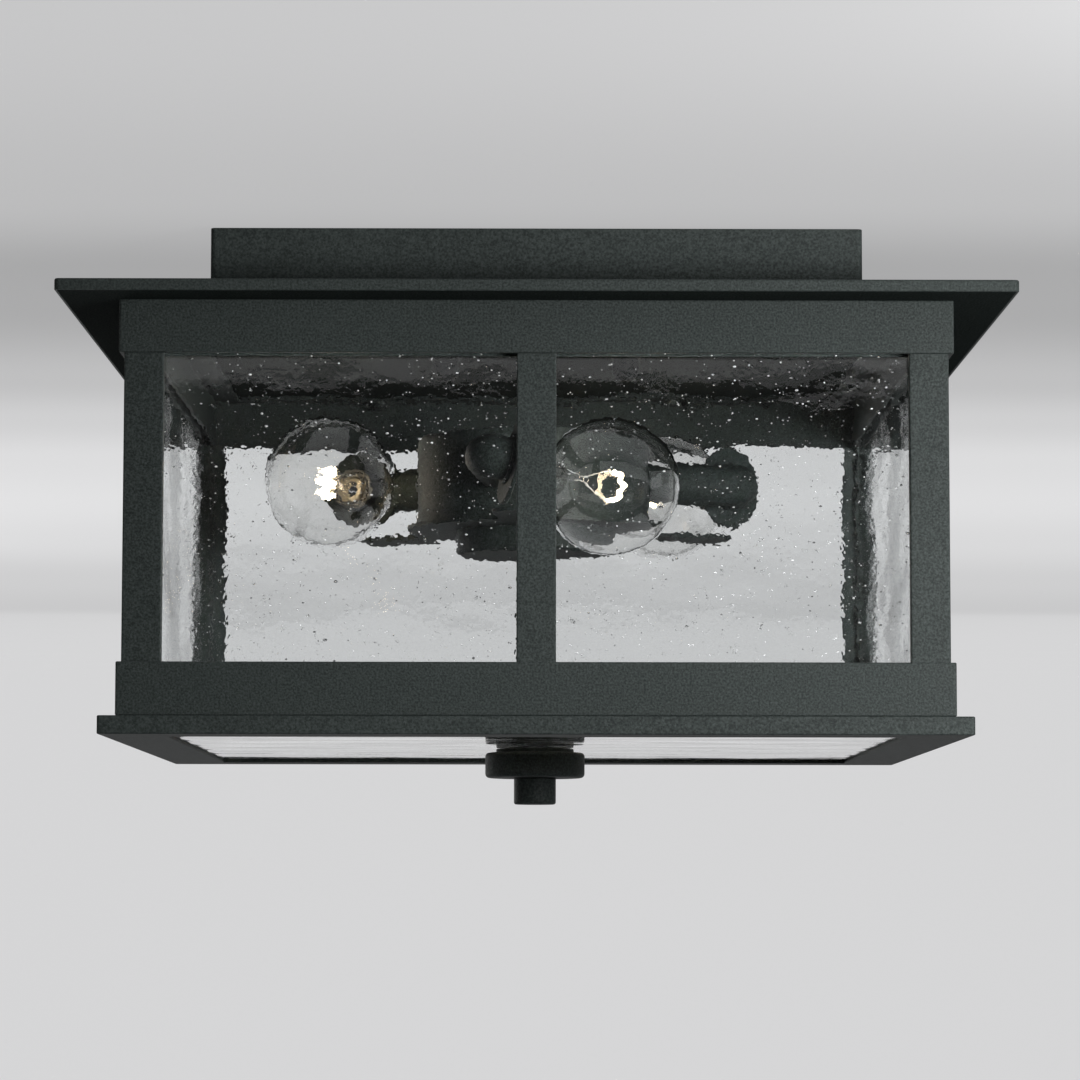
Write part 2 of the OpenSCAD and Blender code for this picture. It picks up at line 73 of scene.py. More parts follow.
DRUM_R, DRUM_TOP, DRUM_LOW = 52.0, -71.0, -111.0
PLATE_LOW, CAP_LOW, CAP_R = -112.5, -122.5, 35.0
WASHER_TOP, FINIAL_TOP, KNOB_TOP, KNOB_LOW = -208.1, -209.8, -220.8, -232.4
STUD_X, CAP_NUT_R, CAP_NUT_LOW = 40.0, 6.0, -45.7
LAMP_COUNT, LAMP_STEP = 3, 120.0
ARM_ANGLE, LAMP_TURN, ARM_REACH, LAMP_Z = 25.0, 107.0, 96.0, -89.0
LAMP_DROOP = (0.0, 0.0, 13.0)
ARM_R, ARM_START, ARM_BACK, DISC_R, DISC_T = 9.5, 42.0, 13.0758, 18.5, 2.0
SOCKET_R, SOCKET_LEN, SHELL_OUT, SOCKET_FLOOR = 9.25, 12.5, 6.6, 2.0
BASE_R, BASE_LOW, BASE_TOP = 5.95, 2.6, 16.0
GLOBE_R, GLOBE_WALL, GLOBE_Z, NECK_R, NECK_LOW = 29.0, 0.8, 42.0, 7.95, 12.9
OUTER_LEG_T = 2.0        # outer leg of a frame's channel
PANE_SEAT = 3.0          # from a pane's edge to the web of its channel
PANE_STEP = 2.0          # spacing of the points of a pane's faces
TRAY_RIM, TRAY_LIP = 10.5, 25.3      # widths of the tray's inner rim and lower lip
TRAY_PANE_HALF, TRAY_HOLE = 161.0, 6.5
WASHER_R, FINIAL_R, KNOB_R = 17.0, 21.8, 9.2
STEM_BORE_R = 3.3
THREAD_PITCH = 2.4       # of a lamp's screw base
FILAMENT_HALF, FILAMENT_WAVE, FILAMENT_RISE, FILAMENT_R = 6.5, 4.2, 5.0, 0.85
ARM_BEND = 7.5           # of an arm's middle line
SEED_R, SEED_SPREAD, SEED_R_MIN, SEED_R_MAX = 0.25, 0.4, 0.12, 0.6
EDGE_FADE = 6.0          # width over which a pane's waves die out

PHOTO_LENS, PHOTO_WIDTH, SENSOR = 3860.0, 1080.0, 36.0       # pixels, pixels and millimetres
FILL = 0.11              # strength of the world as light
PALE, DIM = (0.675, 0.677, 0.69, 1), (0.04, 0.04, 0.04, 1)   # the world as seen, and its front in mirrors
PAINTED_BAND_SHARE = 0.9          # share of its painted light and shade bands in what the ceiling shows
WELD = 2e-7              # metres between points that become one


# ---------------- shapes

def rounded(corners, radii, closed=True):
    """Corners give way to arcs of their radii. A holding point just outside each end of an arc keeps the flat
    faces flat in shading."""
    p = np.asarray(corners, float)
    back, ahead = np.roll(p, 1, 0) - p, np.roll(p, -1, 0) - p
    length_back, length_ahead = (np.linalg.norm(v, axis=1)[:, None] for v in (back, ahead))
    back, ahead = back / length_back, ahead / length_ahead
    half = np.arccos(np.clip((back * ahead).sum(1), -0.9999, 0.9999))[:, None] / 2
    shorter = np.minimum(length_back, length_ahead)
    radius = np.maximum(np.asarray(radii, float), 0.02) * np.ones(len(p))
    reach = np.minimum(radius[:, None] / np.tan(half), shorter * 0.4)
    start, end = p + back * reach, p + ahead * reach
    middle = back + ahead
    middle = middle / np.linalg.norm(middle, axis=1)[:, None]
    centre = p + middle * reach / np.cos(half)
    turn = math.pi - 2 * half
    t = np.linspace(0, 1, ARC_STEPS + 1)[None, :]
    arcs = (
        centre[:, None]
        + (np.sin((1 - t) * turn) / np.sin(turn))[..., None] * (start - centre)[:, None]
        + (np.sin(t * turn) / np.sin(turn))[..., None] * (end - centre)[:, None]
    )
    hold = np.minimum(0.5, shorter * 0.08)
    rows = np.concatenate([(start + back * hold)[:, None], arcs, (end + ahead * hold)[:, None]], 1)
    if closed:
        return rows.reshape(-1, 2)
    return np.concatenate([p[:1], rows[1:-1].reshape(-1, 2), p[-1:]])


def grid_shell(points, wrap_u, wrap_v):
    """The surface through a grid of points. A normal is the first direction crossed with the second."""
    n, m = points.shape[:2]
    i = np.arange(n if wrap_u else n - 1)[:, None]
    j = np.arange(m if wrap_v else m - 1)[None, :]
    i1, j1 = (i + 1) % n, (j + 1) % m
    quads = np.stack([i * m + j, i1 * m + j, i1 * m + j1, i * m + j1], -1).reshape(-1, 4)
    return points.reshape(-1, 3), [quads]


def square_ring(corners, radii, corner):
    """A closed profile of half width and height carried round a square. All half widths share the centre of a
    corner's arc, so the outer edge is rounded and the inner walls stay sharp."""
    profile = rounded(corners, radii)
    area = (profile[:, 0] * np.roll(profile[:, 1], -1) - np.roll(profile[:, 0], -1) * profile[:, 1]).sum()
    if area > 0:
        profile = profile[::-1]
    r, z = profile[:, :1], profile[:, 1:]
    centre = np.minimum(r.max() - corner, r - 0.05)
    bend = r - centre
    angle = np.linspace(0, math.pi / 2, ARC_STEPS + 1)
    angle = np.concatenate([angle[:1], angle, angle[-1:]])
    hold = np.zeros(len(angle))
    hold[0], hold[-1] = -0.5, 0.5
    quarter = np.repeat(np.arange(4), len(angle)) * math.pi / 2
    angle, hold = np.tile(angle, 4) + quarter, np.tile(hold, 4)
    sign_x, sign_y = np.sign(np.cos(quarter + math.pi / 4)), np.sign(np.sin(quarter + math.pi / 4))
    x = centre * sign_x + bend * np.cos(angle) - hold * np.sin(angle)
    y = centre * sign_y + bend * np.sin(angle) + hold * np.cos(angle)
    return grid_shell(np.stack([x, y, z + 0 * x], -1) * MM, True, True)


def prism(section, z0, z1, quarter):
    """A closed anticlockwise section, carried straight up between two flat caps and turned by quarters."""
    n = len(section)
    levels = np.array([z0, z0 + 0.3, z1 - 0.3, z1])
    a = quarter * math.pi / 2
    x = section[:, 0] * math.cos(a) - section[:, 1] * math.sin(a)
    y = section[:, 0] * math.sin(a) + section[:, 1] * math.cos(a)
    points = np.stack([
        np.tile(x[:, None], (1, 4)), np.tile(y[:, None], (1, 4)), np.tile(levels, (n, 1)),
    ], -1) * MM
    verts, faces = grid_shell(points, True, False)
    low = np.arange(n) * 4
    return verts, faces + [low[::-1][None, :], (low + 3)[None, :]]


def turned(corners, radii, steps=ROUND_STEPS, place=None, closed=False):
    """A profile of radius and height with rounded corners, turned round its axis, from the top down along the
    outside."""
    return turned_profile(rounded(corners, radii, closed), steps, place, closed)


def turned_profile(profile, steps, place=None, closed=False, flute=None):
    """The same for a profile that is already a curve. A flute, for a thread or ribs, is a function of angle,
    height and radius that is added to the radius."""
    angle = np.linspace(0, math.tau, steps, endpoint=False)[None, :]
    r, z = profile[:, :1] + 0 * angle, profile[:, 1:] + 0 * angle
    if flute is not None:
        r = np.maximum(r + flute(angle, z, r), 0)
    points = np.stack([r * np.cos(angle), r * np.sin(angle), z], -1)
    return grid_shell(set_at(points, place), closed, True)


def set_at(points, place):
    """Millimetres become metres, turned and moved by a 3 by 4 placing matrix where one is given."""
    if place is not None:
        points = points @ place[:, :3].T + place[:, 3]
    return points * MM


def tube(path, radius, across, steps, place=None, coil=None):
    """A circle carried along a path that never runs along the vector across. A coil is a function of angle
    and share of the length that is added to the radius."""
    path = np.asarray(path, float)
    ahead = np.gradient(path, axis=0)
    ahead /= np.linalg.norm(ahead, axis=1)[:, None]
    side = np.cross(ahead, across)
    side /= np.linalg.norm(side, axis=1)[:, None]
    up = np.cross(side, ahead)
    angle = np.linspace(0, math.tau, steps, endpoint=False)[None, :, None]
    share = np.linspace(0, 1, len(path))[:, None, None]
    r = radius + (coil(angle, share) if coil else 0) + 0 * angle * share
    points = path[:, None] + r * (np.cos(angle) * side[:, None] + np.sin(angle) * up[:, None])
    ends = [np.tile(path[:1, None], (1, steps, 1)), points, np.tile(path[-1:, None], (1, steps, 1))]
    verts, faces = grid_shell(set_at(np.concatenate(ends), place), False, True)
    return verts, [f[:, ::-1] for f in faces]


def filleted_path(points, radius, steps=12):
    """Straight runs joined by arcs, worked out in the plane of each corner."""
    p = np.asarray(points, float)
    out = [p[:1]]
    for a, b, c in zip(p[:-2], p[1:-1], p[2:]):
        u, v = (a - b) / np.linalg.norm(a - b), (c - b) / np.linalg.norm(c - b)
        half = math.acos(float(np.clip(u @ v, -1, 1))) / 2
        reach = radius / math.tan(half)
        centre = b + (u + v) / np.linalg.norm(u + v) * radius / math.sin(half)
        start, end = b + u * reach - centre, b + v * reach - centre
        turn, t = math.pi - 2 * half, np.linspace(0, 1, steps + 1)[:, None]
        arc = np.sin((1 - t) * turn) / math.sin(turn) * start + np.sin(t * turn) / math.sin(turn) * end
        out.append(centre + arc)
    out.append(p[-1:])
    return np.concatenate(out)


def ripple(a, b, seed, height):
    """The height of a rolled glass face: sine waves of random direction and phase, higher where they are
    longer. They are shorter up the pane than along it, which gives level streaks."""
    rng = np.random.default_rng(seed)
    total = np.zeros_like(a)
    for length in np.geomspace(7.0, 70.0, 26):
        direction = rng.uniform(-math.pi, math.pi)
        wave_a = math.cos(direction) * 0.5
        wave_b = math.sin(direction) * 1.35
        phase = rng.uniform(0, math.tau)
        total += (length / 30) ** 1.15 * np.sin(math.tau * (a * wave_a + b * wave_b) / length + phase)
    return total * height / 5


def seeds(centres, radii, stretch, rings=6, facets=8, hollow=True):
    """Small closed balls stretched along the pane. A bubble is a hollow, so its faces point inwards; those of
    a grain point outwards."""
    polar = np.linspace(0, math.pi, rings)[:, None]
    round_ = np.linspace(0, math.tau, facets, endpoint=False)[None, :]
    level = np.sin(polar)
    ball = np.stack([level * np.cos(round_), level * np.sin(round_), np.cos(polar) + 0 * round_], -1)
    verts, (quads,) = grid_shell(ball, False, True)
    points = centres[:, None] + verts[None] * radii[:, None, None] * stretch[:, None]
    count = len(verts)
    faces = (quads[None, :, ::-1] if hollow else quads[None]) + np.arange(len(centres))[:, None, None] * count
    return points.reshape(-1, 3), faces.reshape(-1, 4)


def scatter(count, half_a, low_b, high_b, depth, seed):
    """Random places for seeds in a pane's coordinates, a few large ones and many small ones."""
    rng = np.random.default_rng(seed)
    radii = np.clip(np.exp(rng.normal(math.log(SEED_R), SEED_SPREAD, count)), SEED_R_MIN, SEED_R_MAX)
    a = rng.uniform(-half_a + 3, half_a - 3, count)
    b = rng.uniform(low_b + 3, high_b - 3, count)
    room = depth / 2 - 0.3
    c = rng.uniform(-1, 1, count) * np.maximum(room - radii, 0.05)
    stretch = np.ones((count, 3))
    stretch[:, 0] = rng.uniform(0.9, 1.7, count)
    return np.stack([a, b, c], -1), radii, stretch


def glass_face(a, b, level, edge, seed, wave):
    """The points of a pane's face: a level lifted by a ripple that dies out towards the edge."""
    fade = np.clip(edge / EDGE_FADE, 0, 1) ** 2
    return np.stack([a, b, level + ripple(a, b, seed, wave) * fade], -1)


def pane_mesh(half_a, low_b, high_b, depth, wave, count, seed):
    """A pane in its own coordinates: a and b along its faces and c through it. Each face is a grid with its
    own ripple, and four flat strips join them."""
    a = np.linspace(-half_a, half_a, int(2 * half_a / PANE_STEP))[:, None]
    b = np.linspace(low_b, high_b, int((high_b - low_b) / PANE_STEP))[None, :]
    a, b = a + 0 * b, b + 0 * a
    edge = np.minimum(half_a - np.abs(a), np.minimum(b - low_b, high_b - b))
    top = glass_face(a, b, depth / 2, edge, seed, wave)
    low = glass_face(a, b, -depth / 2, edge, seed + 50, wave)
    shells = [grid_shell(top, False, False), grid_shell(low[:, ::-1], False, False)]
    sides = ((top[0], low[0]), (low[-1], top[-1]), (low[:, 0], top[:, 0]), (top[:, -1], low[:, -1]))
    for row_top, row_low in sides:
        shells.append(grid_shell(np.stack([row_low, row_top]), False, False))
    centres, radii, stretch = scatter(count, half_a, low_b, high_b, depth, seed + 100)
    verts, faces = seeds(centres, radii, stretch)
    return shells + [(verts, [faces])]


def glint_grain_layer(half_a, low_b, high_b, depth, count, seed):
    """Pale grains inside a pane, which catch the light from the side: painted glints in place of the seeds'
    glints.
    """
    centres, radii, stretch = scatter(count, half_a, low_b, high_b, depth, seed)
    verts, faces = seeds(centres, np.minimum(radii * 0.95, 0.5), stretch, 4, 6, False)
    return [(verts, [faces])]


def placed(shells, matrix):
    """The same shells in the lantern's frame."""
    return [(set_at(verts, matrix), faces) for verts, faces in shells]


def lamp_frame(i):
    """Lamp i's placing matrix: the third column is its axis, pointing away from the socket disc. The axis may
    droop about the elbow, which lies a fixed way behind the disc."""
    axis, droop = math.radians(ARM_ANGLE + LAMP_STEP * i + LAMP_TURN), math.radians(LAMP_DROOP[i])
    level, up = np.array([math.cos(axis), math.sin(axis), 0.0]), np.array([0.0, 0.0, 1.0])
    ahead = level * math.cos(droop) - up * math.sin(droop)
    below = -level * math.sin(droop) - up * math.cos(droop)
    beside = np.array([-math.sin(axis), math.cos(axis), 0.0])
    return np.stack([below, beside, ahead, elbow_of(i) + ahead * ARM_BACK], -1)


def elbow_of(i):
    """The point where arm i turns towards its disc."""
    arm, turn = math.radians(ARM_ANGLE + LAMP_STEP * i), math.radians(LAMP_TURN)
    out, side = ARM_REACH - ARM_BACK * math.cos(turn), -ARM_BACK * math.sin(turn)
    x, y = out * math.cos(arm) - side * math.sin(arm), out * math.sin(arm) + side * math.cos(arm)
    return np.array([x, y, LAMP_Z])


def shift(x):
    """A placing matrix that only moves along x."""
    return np.array([[1, 0, 0, x], [0, 1, 0, 0], [0, 0, 1, 0]], float)


def oblong(near, far, top, low):
    """The profile of a flat round piece: two radii and two levels."""
    return [(near, top), (far, top), (far, low), (near, low)]


def add_object(name, data):
    made = bpy.data.objects.new(name, data)
    bpy.context.scene.collection.objects.link(made)
    return made


def make_piece(name, shells, nodes=(), finish="black coat", body=ROOT, sharp=32):
    """Puts the shells in one mesh, with seams and poles welded. The piece takes its finish, rides on its body
    and stands for its nodes."""
    verts = np.concatenate([v for v, _ in shells])
    offset, rows = 0, []
    for v, faces in shells:
        rows += [f + offset for f in faces]
        offset += len(v)
    keys = np.round(verts / WELD).astype(np.int64)
    _, first, index = np.unique(keys, axis=0, return_index=True, return_inverse=True)
    index = index.reshape(-1)
    loops, sizes = [], []
    for f in rows:
        corners = index[f]
        keep = corners != np.roll(corners, 1, axis=1)
        real = keep.sum(1) >= 3
        loops.append(corners[real][keep[real]])
        sizes.append(keep[real].sum(1))
    loops, sizes = np.concatenate(loops), np.concatenate(sizes)
    mesh = bpy.data.meshes.new(name)
    mesh.vertices.add(len(first))
    mesh.vertices.foreach_set("co", verts[first].astype(np.float32).ravel())
    mesh.loops.add(len(loops))
    mesh.loops.foreach_set("vertex_index", loops.astype(np.int32))
    mesh.polygons.add(len(sizes))
    mesh.polygons.foreach_set("loop_start", (np.cumsum(sizes) - sizes).astype(np.int32))
    mesh.polygons.foreach_set("use_smooth", np.ones(len(sizes), bool))
    mesh.update(calc_edges=True)
    if mesh.validate():
        raise RuntimeError(f"{name}: the mesh had faults")
    mesh.set_sharp_from_angle(angle=math.radians(sharp))
    mesh.materials.append(finish_of(finish))
    piece = add_object(name, mesh)
    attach(piece, body)
    if nodes:
        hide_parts(*nodes)
    return piece


# ---------------- finishes


def add_node(tree, kind, inputs=None, **settings):
    """A shader node with its settings and input values. A value that is a socket is linked."""
    node = tree.nodes.new("ShaderNode" + kind)
    for key, value in settings.items():
        setattr(node, key, value)
    for key, value in (inputs or {}).items():
        if isinstance(value, bpy.types.NodeSocket):
            tree.links.new(value, node.inputs[key])
        else:
            node.inputs[key].default_value = value
    return node


def calc(tree, operation, *values, clamp=False):
    """The output of a maths node."""
    inputs = dict(enumerate(values))
    return add_node(tree, "Math", inputs, operation=operation, use_clamp=clamp).outputs[0]


def noise(tree, place, scale, detail, roughness=0.5):
    """The output of a noise node, from 0 to 1."""
    inputs = {"Vector": place, "Scale": scale, "Detail": detail, "Roughness": roughness}
    return add_node(tree, "TexNoise", inputs).outputs["Fac"]


def ranged(tree, value, low, high, to_low=0.0, to_high=1.0):
    """A value mapped from one range to another, and held inside it."""
    inputs = {"Value": value, "From Min": low, "From Max": high, "To Min": to_low, "To Max": to_high}
    return add_node(tree, "MapRange", inputs).outputs[0]


def object_place(tree):
    return add_node(tree, "TexCoord").outputs["Object"]


def stretched(tree, place, scale):
    return add_node(tree, "Mapping", {"Vector": place, "Scale": scale}).outputs[0]


def shared_group(name, inputs, outputs, build):
    """The node group of that name, made at the first call."""
    tree = bpy.data.node_groups.get(name)
    if tree is None:
        tree = bpy.data.node_groups.new(name, "ShaderNodeTree")
        for label, value in inputs.items():
            kind = "NodeSocketColor" if isinstance(value, tuple) else "NodeSocketFloat"
            tree.interface.new_socket(label, in_out="INPUT", socket_type=kind).default_value = value
        for label in outputs:
            kind = "NodeSocketColor" if label == "Color" else "NodeSocketFloat"
            tree.interface.new_socket(label, in_out="OUTPUT", socket_type=kind)
        build(tree, tree.nodes.new("NodeGroupInput").outputs, tree.nodes.new("NodeGroupOutput").inputs)
    return tree


def grain_group():
    """Grain of a powder coat: fine noise for height and flecks, coarser noise that mottles the colour, and
    slow drift over the whole piece."""
    def build(tree, given, out):
        place, grain = object_place(tree), given["Grain per metre"]
        fine = noise(tree, place, grain, 3.0, 0.6)
        coarse = noise(tree, place, calc(tree, "MULTIPLY", grain, 0.22), 2.0)
        drift = noise(tree, place, 9.0, 1.0)
        mottle = ranged(tree, coarse, 0.35, 0.7, 0.0, 0.09)
        slow = ranged(tree, drift, 0.3, 0.7, 0.0, 0.1)
        fleck = ranged(tree, fine, 0.36, 0.76, 0.0, 0.95)
        share = calc(tree, "ADD", calc(tree, "ADD", mottle, slow), fleck, clamp=True)
        rough = calc(tree, "MULTIPLY_ADD", coarse, given["Roughness spread"], given["Roughness"])
        tree.links.new(mixed(tree, share, given["Base"], given["Fleck"]), out["Color"])
        tree.links.new(rough, out["Roughness"])
        tree.links.new(fine, out["Height"])
    return shared_group("coat grain", {
        "Base": (0.02, 0.02, 0.02, 1), "Fleck": (0.06, 0.06, 0.06, 1), "Grain per metre": 1100.0,
        "Roughness": 0.5, "Roughness spread": 0.15,
    }, ("Color", "Roughness", "Height"), build)


def mixed(tree, share, first, second):
    """The first colour where share is 0, the second where it is 1."""
    return add_node(tree, "Mix", {0: share, 6: first, 7: second}, data_type="RGBA").outputs[2]


def ripple_group():
    """Fine unevenness of blown or rolled glass: two noises, the coarser one drawn out along the level."""
    def build(tree, given, out):
        place, waves = object_place(tree), given["Waves per metre"]
        coarse = noise(tree, stretched(tree, place, (0.45, 0.45, 1.0)), waves, 1.0)
        fine = noise(tree, place, calc(tree, "MULTIPLY", waves, 3.1), 1.0)
        tree.links.new(calc(tree, "MULTIPLY_ADD", fine, given["Fine share"], coarse), out["Height"])
    return shared_group("glass ripple", {"Waves per metre": 120.0, "Fine share": 0.25}, ("Height",), build)


def brushed_group():
    """Drawn metal: noise stretched a hundredfold, for colour, roughness and height."""
    def build(tree, given, out):
        place = object_place(tree)
        lines = noise(tree, stretched(tree, place, (8.0, 8.0, 900.0)), 3.0, 4.0)
        spots = noise(tree, place, 160.0, 3.0)
        share = ranged(tree, calc(tree, "MULTIPLY", lines, spots), 0.12, 0.42)
        tree.links.new(mixed(tree, share, given["Dark"], given["Light"]), out["Color"])
        tree.links.new(calc(tree, "MULTIPLY_ADD", spots, 0.25, given["Roughness"]), out["Roughness"])
        tree.links.new(lines, out["Height"])
    return shared_group("drawn metal", {
        "Light": (0.7, 0.7, 0.7, 1), "Dark": (0.5, 0.5, 0.5, 1), "Roughness": 0.3,
    }, ("Color", "Roughness", "Height"), build)


def seen_rays(tree):
    """1 for rays that show a backdrop: from the camera, a glossy surface or through glass, with no matt
    surface between."""
    path = add_node(tree, "LightPath").outputs
    seen = calc(tree, "MAXIMUM", path["Is Camera Ray"], path["Is Transmission Ray"])
    seen = calc(tree, "MAXIMUM", seen, path["Is Glossy Ray"])
    return calc(tree, "MULTIPLY", seen, calc(tree, "LESS_THAN", path["Diffuse Depth"], 0.5))


def blank_material(name, values):
    """A material with a Principled shader of these values, and its tree and shader."""
    material = bpy.data.materials.new(name)
    material.use_nodes = True
    tree = material.node_tree
    tree.nodes.clear()
    shader = add_node(tree, "BsdfPrincipled", values)
    add_node(tree, "OutputMaterial", {"Surface": shader.outputs[0]})
    return material, tree, shader


def mixed_shader(tree, share, first, second):
    """The first shader where share is 0, the second where it is 1."""
    return add_node(tree, "MixShader", {0: share, 1: first.outputs[0], 2: second.outputs[0]})


def to_surface(tree, shader):
    output = next(n for n in tree.nodes if n.type.startswith("OUTPUT"))
    tree.links.new(shader.outputs[0], output.inputs["Surface"])


def grouped(tree, shader, group, values, strength, distance):
    """Feeds the shader's colour, roughness and normal from a group with these values."""
    node = add_node(tree, "Group", values, node_tree=group)
    for label, socket in (("Color", "Base Color"), ("Roughness", "Roughness")):
        if label in node.outputs:
            tree.links.new(node.outputs[label], shader.inputs[socket])
    height = {"Height": node.outputs["Height"], "Strength": strength, "Distance": distance}
    bump = add_node(tree, "Bump", height)
    tree.links.new(bump.outputs[0], shader.inputs["Normal"])


def rgba(colour):
    return (*colour, 1.0)


def dimmed(colour, share):
    return [share * c for c in colour]


def coated(name, base, fleck, grain, roughness, specular=0.5, strength=0.5, distance=0.0002):
    material, tree, shader = blank_material(name, {"Specular IOR Level": specular})
    grouped(tree, shader, grain_group(), {
        "Base": rgba(base), "Fleck": rgba(fleck), "Grain per metre": grain, "Roughness": roughness,
    }, strength, distance)
    return material


def metal(name, light, dark, roughness):
    material, tree, shader = blank_material(name, {"Metallic": 1.0})
    values = {"Light": rgba(light), "Dark": rgba(dark), "Roughness": roughness}
    grouped(tree, shader, brushed_group(), values, 0.25, 0.00005)
    return material


def clear_glass(name, tint, through, waves, fine, strength, distance):
    """Glass that bends light, and lets part of the light of lamps straight through."""
    material, tree, shader = blank_material(
        name, {"Base Color": rgba(tint), "Transmission Weight": 1.0, "Roughness": 0.0, "IOR": 1.5})
    grouped(tree, shader, ripple_group(), {"Waves per metre": waves, "Fine share": fine}, strength, distance)
    open_ = add_node(tree, "BsdfTransparent", {"Color": rgba([c * through for c in tint])})
    path = add_node(tree, "LightPath")
    to_surface(tree, mixed_shader(tree, path.outputs["Is Shadow Ray"], shader, open_))
    return material


def grains(name):
    """Pale grains in the glass, as clear as a noise says: painted glints, pale where seeds would catch light.
    """
    material, tree, shader = blank_material(name, {"Base Color": (0.5, 0.51, 0.51, 1), "Roughness": 0.3})
    spots = noise(tree, object_place(tree), 350.0, 1.0)
    tree.links.new(ranged(tree, spots, 0.35, 0.65, 0.15, 0.8), shader.inputs["Alpha"])
    return material


def glowing(name, colour, strength):
    return blank_material(name, {
        "Base Color": (0.9, 0.7, 0.45, 1), "Roughness": 0.6,
        "Emission Color": rgba(colour), "Emission Strength": strength,
    })[0]


def finish_of(name):
    """The material of that finish, made at the first call."""
    found = bpy.data.materials.get(name)
    if found:
        return found
    c = bpy.context.scene.lantern_colours
    # The liner's coat is the black coat made darker: painted shade inside the roof, on a rough finish with
    # little sheen.
    dull_shaded = dimmed(c.coat, 0.7), dimmed(c.coat_fleck, 0.7)
    nut = dimmed(c.coat, 0.25), dimmed(c.coat_fleck, 0.15)
    makers = {
        "black coat": (coated, c.coat, c.coat_fleck, 1150.0, 0.56, 0.12, 0.55, 0.00025),
        "dull coat": (coated, *dull_shaded, 1150.0, 0.8, 0.004, 0.55, 0.00025),
        "nut coat": (coated, *nut, 1150.0, 0.5, 0.08, 0.3, 0.00015),
        "green coat": (coated, (0.03, 0.25, 0.08), (0.1, 0.4, 0.18), 700.0, 0.3),
        "socket plastic": (coated, (0.012,) * 3, (0.03, 0.03, 0.028), 500.0, 0.38, 0.5, 0.15, 0.0001),
        "rubber": (coated, (0.012,) * 3, (0.028,) * 3, 900.0, 0.7, 0.3, 0.3, 0.0001),
        "foam": (coated, (0.02,) * 3, (0.07,) * 3, 420.0, 0.9, 0.2, 0.9, 0.0005),
        "zinc": (metal, (0.66, 0.67, 0.68), (0.42, 0.44, 0.47), 0.28),
        "brass": (metal, (0.30, 0.27, 0.21), (0.18, 0.16, 0.12), 0.42),
        "lead wire": (metal, (0.55, 0.53, 0.5), (0.3, 0.29, 0.28), 0.3),
        "seeded glass": (clear_glass, c.glass, 0.93, 130.0, 0.8, 0.1, 0.0003),
        "lamp glass": (clear_glass, c.lamp_glass, 0.97, 60.0, 0.1, 0.03, 0.0006),
        # The pale grains are painted glints of the seeds.
        "pale grain": (grains,),
        "filament": (glowing, c.glow, c.glow_strength),
    }
    maker, *values = makers[name]
    return maker(name, *values)


def dress(finish, *nodes):
    """CAD nodes that stay get this finish alone."""
    for node in nodes:
        NODES[node].data.materials.clear()
        NODES[node].data.materials.append(finish_of(finish))


# ---------------- settings

def length(name, text, default, low, high):
    """A setting in metres."""
    return bpy.props.FloatProperty(
        name=name, description=text, default=default, min=low, max=high, precision=5, unit="LENGTH")


def number(name, text, default, high):
    return bpy.props.IntProperty(name=name, description=text, default=default, min=0, max=high)


def colour(name, text, default, high=1.0):
    return bpy.props.FloatVectorProperty(
        name=name, description=text, subtype="COLOR", size=3, min=0, max=high, default=default)


class LanternSizes(bpy.types.PropertyGroup):
    edge: length("Sheet edge", "Rounding of the coated sheet's edges", 0.00055, 0.0002, 0.0012)
    wave: length("Glass waves", "Height of the waves in the rolled glass", 0.00004, 0.0, 0.0002)
    seeds_side: number("Seeds in a side pane", "Number of bubbles in each side pane", 500, 2000)
    # The grains counted here are painted glints of the seeds.
    glint_grains_side: number("Grains in a side pane", "Number of pale grains in each side pane", 2400, 4000)
    seeds_bottom: number("Seeds in the bottom pane", "Number of bubbles in the tray's pane", 900, 2000)
    pitch: length("Thread pitch", "Pitch of the stem's thread", 0.00094, 0.0006, 0.002)


class LanternColours(bpy.types.PropertyGroup):
    coat: colour("Coat", "Powder coat", (0.0065, 0.0090, 0.0084))
    coat_fleck: colour("Coat flecks", "Light flecks in the coat", (0.032, 0.039, 0.037))
    glass: colour("Pane glass", "Tint of the panes", (0.965, 0.975, 0.975))
    lamp_glass: colour("Lamp glass", "Tint of the lamp globes", (0.985, 0.985, 0.98))
    glow: colour("Glow", "Colour of the lit filament", (1.0, 0.83, 0.60))
    glow_strength: bpy.props.FloatProperty(
        name="Glow strength", description="Brightness of the lit filament", default=60.0, min=0.0, max=2000.0)
    ceiling: colour("Ceiling", "Tint of the ceiling and wall", (1.0, 1.0, 1.01), 1.1)


def sizes():
    return bpy.context.scene.lantern_sizes


# ---------------- pieces

class LANTERN_OT_canopy_roof(bpy.types.Operator):
    """Adds the canopy box and the broad roof with its turned down rim"""
    bl_idname = "lantern.canopy_roof"
    bl_label = "Canopy and roof"

    def execute(self, context):
        e = sizes().edge / MM
        flange = CANOPY_HALF - SHEET - 14
        canopy = square_ring(
            [(CANOPY_HALF, 0), (CANOPY_HALF, ROOF_TOP), (flange, ROOF_TOP), (flange, ROOF_TOP + SHEET),
             (CANOPY_HALF - SHEET, ROOF_TOP + SHEET), (CANOPY_HALF - SHEET, 0)],
            [0.2, e, 0.2, 0.2, 0.3, 0.2], 2.0)
        make_piece("canopy_box", [canopy], ["canopy"])
        skin_low = ROOF_TOP - SHEET
        hole = STEM_R + 0.2
        roof = square_ring(
            [(ROOF_HALF, ROOF_TOP), (ROOF_HALF, ROOF_LOW), (ROOF_HALF - SHEET, ROOF_LOW),
             (ROOF_HALF - SHEET, skin_low), (hole, skin_low), (hole, ROOF_TOP)],
            [e * 1.3, 0.4, 0.2, 0.4, 0.05, 0.05], 2.0)
        make_piece("roof_shell", [roof], ["roof_plate"])
        # The liner's darker coat is painted shade.
        dress("dull coat", "roof_liner")
        dress("foam", "canopy_seal")
        return {"FINISHED"}


